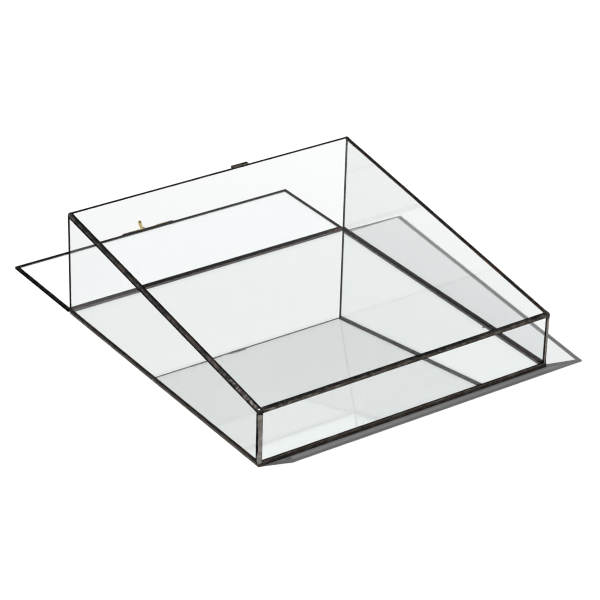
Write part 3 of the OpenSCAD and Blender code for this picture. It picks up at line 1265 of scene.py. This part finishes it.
def patina_solder():
    """Solder whose patina is whole but for fine scratches"""
    return metal_material(
        "patina_solder", toned("patina_dark"), toned("patina_worn"), toned("patina_warm"),
        wear=0.25, stain=0.6, scale=330, rough=0.24, bump=0.6, edge=0.6,
    )


def side_solder():
    """The same on the sloping edges, its patina thinner and lighter towards the low front:
    partly wear, partly a painted highlight near the front corners
    """
    return metal_material(
        "side_solder", toned("patina_dark"), toned("patina_worn"), toned("patina_warm"),
        wear=0.16, stain=0.5, scale=330, rough=0.22, bump=0.7, edge=0.6,
        rise=("Y", -0.15, -0.06, 0.8),
    )


def foot_solder():
    """Solder of the front foot, greyed by rubbing on the table"""
    return metal_material(
        "foot_solder", toned("patina_warm"), toned("patina_worn", 0.6), toned("patina_dark"),
        wear=0.8, stain=0.3, scale=190, rough=0.4, bump=0.6, metallic=0.75,
    )


def handled_solder():
    """Solder of the underside of the low front edge, its patina thinned and lighter: partly
    wear, partly a painted reflection of the bright table it faces, and lighter still towards
    the left end as a painted highlight where the lamp catches that corner
    """
    return metal_material(
        "handled_solder", toned("patina_warm"), toned("patina_worn"), toned("patina_dark"),
        wear=0.5, stain=0.5, scale=300, rough=0.28, bump=0.6, rise=("X", -0.15, -0.07, 1.4),
    )


def rubbed_solder():
    """Solder of the front corners, rubbed half bare"""
    return metal_material(
        "rubbed_solder", toned("patina_worn", 1.05), toned("patina_worn", 1.7),
        toned("patina_warm"), wear=0.85, stain=0.4, scale=230, rough=0.27, bump=0.6,
    )


def patina_foil():
    """Foil, tinned and blackened"""
    return metal_material(
        "patina_foil", toned("foil_dark"), toned("patina_warm"), toned("patina_dark"),
        wear=0.25, stain=0.4, scale=260, rough=0.33, bump=0.4, edge=0.3,
    )


def black_tube():
    """Blackened brass of the door's long hinge tube"""
    return metal_material(
        "blackened_tube", toned("foil_dark"), toned("patina_warm"), toned("patina_dark"),
        wear=0.45, stain=0.6, scale=200, rough=0.28, bump=0.4, edge=0.3,
    )


def copper_foil():
    """The bare side of the foil, dull under the glass"""
    return metal_material(
        "copper_foil", toned("copper", 0.22), toned("copper"), toned("copper", 0.22),
        wear=0.8, stain=0.5, scale=100, rough=0.42, bump=0.3, edge=0.5,
    )


def black_foil():
    """The same, where patina has crept in under the foil"""
    return metal_material(
        "crept_patina", toned("foil_dark"), toned("copper", 0.25), toned("foil_dark"),
        wear=0.4, stain=0.5, scale=100, rough=0.42, bump=0.3, edge=0.3,
    )


def aged_brass():
    """Brown brass of the bolt's tubes and of the bolt between them"""
    return metal_material(
        "brown_brass", toned("aged_brass", 0.16), toned("aged_brass"), toned("foil_dark"),
        wear=0.6, stain=0.5, scale=220, rough=0.36, bump=0.4, edge=0.5,
    )


def dark_brass():
    """Brass of the keeper, nearly black with patina, and of the dark ring round the handle's
    hole
    """
    return metal_material(
        "dark_brass", toned("foil_dark"), toned("aged_brass", 0.35), toned("aged_brass", 0.35),
        wear=0.7, stain=0.4, scale=240, rough=0.35, bump=0.5, edge=0.5,
    )


def red_brass():
    """Coppery brass of the short tubes of the hinge"""
    return metal_material(
        "coppery_brass", toned("red_brass", 0.35), toned("red_brass"), toned("red_brass", 0.35),
        wear=1.0, stain=0.4, scale=150, rough=0.45, bump=0.5, edge=0.6,
    )


def bright_brass():
    """Bare brass of the bolt's handle and the hinge rod, dulled by touch"""
    return metal_material(
        "bright_brass", toned("brass"), toned("brass"), toned("brass", 0.75),
        wear=0.5, stain=0.5, scale=200, rough=0.46, bump=0.2, metallic=0.7,
    )


# ---- stage ----


def grey(share):
    return (share, share, share)


def sine(degrees):
    return math.sin(math.radians(degrees))


def table_material():
    """Plain white table, darker in what the metal and glass mirror"""

    def build(tree):
        ray = put(tree, "ShaderNodeLightPath").outputs
        glossy, diffuse = ray["Glossy Depth"], ray["Diffuse Depth"]
        in_mirror = calculated(tree, "SUBTRACT", glossy, diffuse, clamp=True)
        shade = mixed_colour(tree, in_mirror, grey(TABLE_WHITE), grey(TABLE_MIRRORED))
        return put(tree, "ShaderNodeBsdfDiffuse", {"Color": shade}).outputs[0]

    return material_of("white_table", build)


def make_table():
    """A round plain table, far wider than the picture"""
    bm = bmesh.new()
    bmesh.ops.create_circle(bm, cap_ends=True, segments=64, radius=TABLE_RADIUS)
    table = add_object("table", mesh_of("table", bm, [table_material()]))
    table.location.z = -TABLE_GAP


def make_lamp():
    """A small lamp whose light on the table is as bright far away as near by"""
    studio = bpy.context.scene.glass_box_studio
    data = bpy.data.lights.new("main_lamp", "POINT")
    data.shadow_soft_size = studio.lamp_radius
    data.energy = 1.0
    data.use_nodes = True
    data.cycles.use_multiple_importance_sampling = False
    tree = data.node_tree
    tree.nodes.clear()
    distance = put(tree, "ShaderNodeLightPath").outputs["Ray Length"]
    # The third power makes up for the loss with distance, squared, and for the slant
    cubed = calculated(tree, "POWER", distance, 3.0)
    per_watt = TABLE_WHITE / (4 * math.pi ** 2)
    level = studio.lamp_light / (per_watt * studio.lamp[2])
    light = put(tree, "ShaderNodeEmission", {
        "Strength": calculated(tree, "MULTIPLY", cubed, level),
    })
    put(tree, "ShaderNodeOutputLight", {"Surface": light.outputs[0]})
    add_object("main_lamp", data).location = studio.lamp


def make_surroundings():
    """A low white backdrop all round, brightest behind the box, under a dim ceiling with
    a soft light right above"""
    studio = bpy.context.scene.glass_box_studio
    world = bpy.data.worlds.new("studio")
    bpy.context.scene.world = world
    world.use_nodes = True
    world.cycles.sampling_method = "NONE"
    tree = world.node_tree
    tree.nodes.clear()
    towards = put(tree, "ShaderNodeTexCoord").outputs["Generated"]
    height = put(tree, "ShaderNodeSeparateXYZ", {0: towards}).outputs["Z"]
    away = (math.sin(-studio.azimuth), math.cos(-studio.azimuth), 0)
    feeds = {0: towards, 1: away}
    behind = put(tree, "ShaderNodeVectorMath", feeds, operation="DOT_PRODUCT").outputs["Value"]
    dimmest = FRONT_SHARE * studio.backdrop
    backdrop = spread(tree, behind, BACKDROP_DIM, BACKDROP_FULL, dimmest, studio.backdrop)
    ceiling = spread(
        tree, height, sine(CEILING_HIGH), sine(OVERHEAD_LOW), CEILING_LIGHT, studio.overhead)
    above = spread(tree, height, sine(BACKDROP_TOP), sine(CEILING_LOW), 0, 1)
    seen = mixed_value(tree, above, backdrop, ceiling)
    bounced = put(tree, "ShaderNodeLightPath").outputs["Diffuse Depth"]
    dull = calculated(tree, "MINIMUM", bounced, 1.0)
    dimmed = mixed_value(tree, dull, 1.0, SOFT_SHARE)
    light = put(tree, "ShaderNodeBackground", {
        "Strength": calculated(tree, "MULTIPLY", seen, dimmed),
    })
    put(tree, "ShaderNodeOutputWorld", {"Surface": light.outputs[0]})


def make_camera():
    """The camera, at the angle from which the box is shown"""
    studio = bpy.context.scene.glass_box_studio
    flat = math.cos(studio.elevation)
    back = Vector((
        math.sin(studio.azimuth) * flat,
        -math.cos(studio.azimuth) * flat,
        math.sin(studio.elevation),
    ))
    level = Vector((math.cos(studio.azimuth), math.sin(studio.azimuth), 0))
    turn = Matrix.Rotation(studio.roll, 3, back)
    right = turn @ level
    up = turn @ back.cross(level)
    data = bpy.data.cameras.new("camera")
    data.sensor_width = 36
    data.lens = studio.focal_length
    data.clip_start = 0.05
    data.clip_end = 50
    camera = add_object("camera", data)
    place = (
        Vector(studio.aim) + back * studio.distance
        + right * studio.step_right + up * studio.step_up
    )
    axes = Matrix((right, up, back)).transposed().to_4x4()
    camera.matrix_world = Matrix.Translation(place) @ axes
    bpy.context.scene.camera = camera


# ---- operators ----


class GLASSBOX_OT_mirror(bpy.types.Operator):
    """Make the mirror floor"""

    bl_idname = "glassbox.mirror"
    bl_label = "Mirror floor"

    def execute(self, context):
        make_mirror()
        return {"FINISHED"}


class GLASSBOX_OT_panes(bpy.types.Operator):
    """Make the clear panes of the walls, the top and the door"""

    bl_idname = "glassbox.panes"
    bl_label = "Clear panes"

    def execute(self, context):
        for name in PANES:
            make_pane(name)
        return {"FINISHED"}


class GLASSBOX_OT_foil(bpy.types.Operator):
    """Make the foil round the edge of each pane"""

    bl_idname = "glassbox.foil"
    bl_label = "Foil"

    def execute(self, context):
        make_edgings()
        return {"FINISHED"}


class GLASSBOX_OT_seams(bpy.types.Operator):
    """Make the solder beads along the seams"""

    bl_idname = "glassbox.seams"
    bl_label = "Soldered seams"

    def execute(self, context):
        make_seams()
        make_wear_strip()
        return {"FINISHED"}


class GLASSBOX_OT_hinge(bpy.types.Operator):
    """Make the tubes, the rod and the solder of the door's hinge"""

    bl_idname = "glassbox.hinge"
    bl_label = "Hinge"

    def execute(self, context):
        make_hinge()
        return {"FINISHED"}


class GLASSBOX_OT_bolt(bpy.types.Operator):
    """Make the sliding bolt, its two guides and its keeper"""

    bl_idname = "glassbox.bolt"
    bl_label = "Bolt"

    def execute(self, context):
        make_bolt()
        make_guides()
        return {"FINISHED"}


class GLASSBOX_OT_stage(bpy.types.Operator):
    """Make the table, the lamp, the backdrop and the camera"""

    bl_idname = "glassbox.stage"
    bl_label = "Stage"

    def execute(self, context):
        make_camera()
        make_table()
        make_lamp()
        make_surroundings()
        scene = context.scene
        scene.view_settings.view_transform = "Standard"
        scene.cycles.blur_glossy = 0
        scene.cycles.filter_width = 1.1
        scene.cycles.max_bounces = 24
        scene.cycles.transmission_bounces = 20
        scene.cycles.glossy_bounces = 12
        scene.cycles.transparent_max_bounces = 24
        return {"FINISHED"}


class GLASSBOX_PT_panel(bpy.types.Panel):
    """Settings and steps of the glass box"""

    bl_idname = "GLASSBOX_PT_panel"
    bl_label = "Glass box"
    bl_space_type = "VIEW_3D"
    bl_region_type = "UI"
    bl_category = "Glass box"

    def draw(self, context):
        scene = context.scene
        for group in (scene.glass_box_work, scene.glass_box_finish, scene.glass_box_studio):
            box = self.layout.box()
            for name in group.__annotations__:
                box.prop(group, name)
        for step in STEPS:
            self.layout.operator(step.bl_idname)


STEPS = (
    GLASSBOX_OT_stage,
    GLASSBOX_OT_mirror,
    GLASSBOX_OT_panes,
    GLASSBOX_OT_foil,
    GLASSBOX_OT_seams,
    GLASSBOX_OT_hinge,
    GLASSBOX_OT_bolt,
)
CLASSES = (GlassBoxWork, GlassBoxFinish, GlassBoxStudio, *STEPS, GLASSBOX_PT_panel)


def register():
    for cls in CLASSES:
        bpy.utils.register_class(cls)
    scene = bpy.types.Scene
    scene.glass_box_work = bpy.props.PointerProperty(type=GlassBoxWork)
    scene.glass_box_finish = bpy.props.PointerProperty(type=GlassBoxFinish)
    scene.glass_box_studio = bpy.props.PointerProperty(type=GlassBoxStudio)


def unregister():
    scene = bpy.types.Scene
    del scene.glass_box_work
    del scene.glass_box_finish
    del scene.glass_box_studio
    for cls in reversed(CLASSES):
        bpy.utils.unregister_class(cls)


def main():
    register()
    bpy.ops.glassbox.stage()
    bpy.ops.glassbox.mirror()
    bpy.ops.glassbox.panes()
    bpy.ops.glassbox.foil()
    bpy.ops.glassbox.seams()
    bpy.ops.glassbox.hinge()
    bpy.ops.glassbox.bolt()


if __name__ == "__main__":
    main()
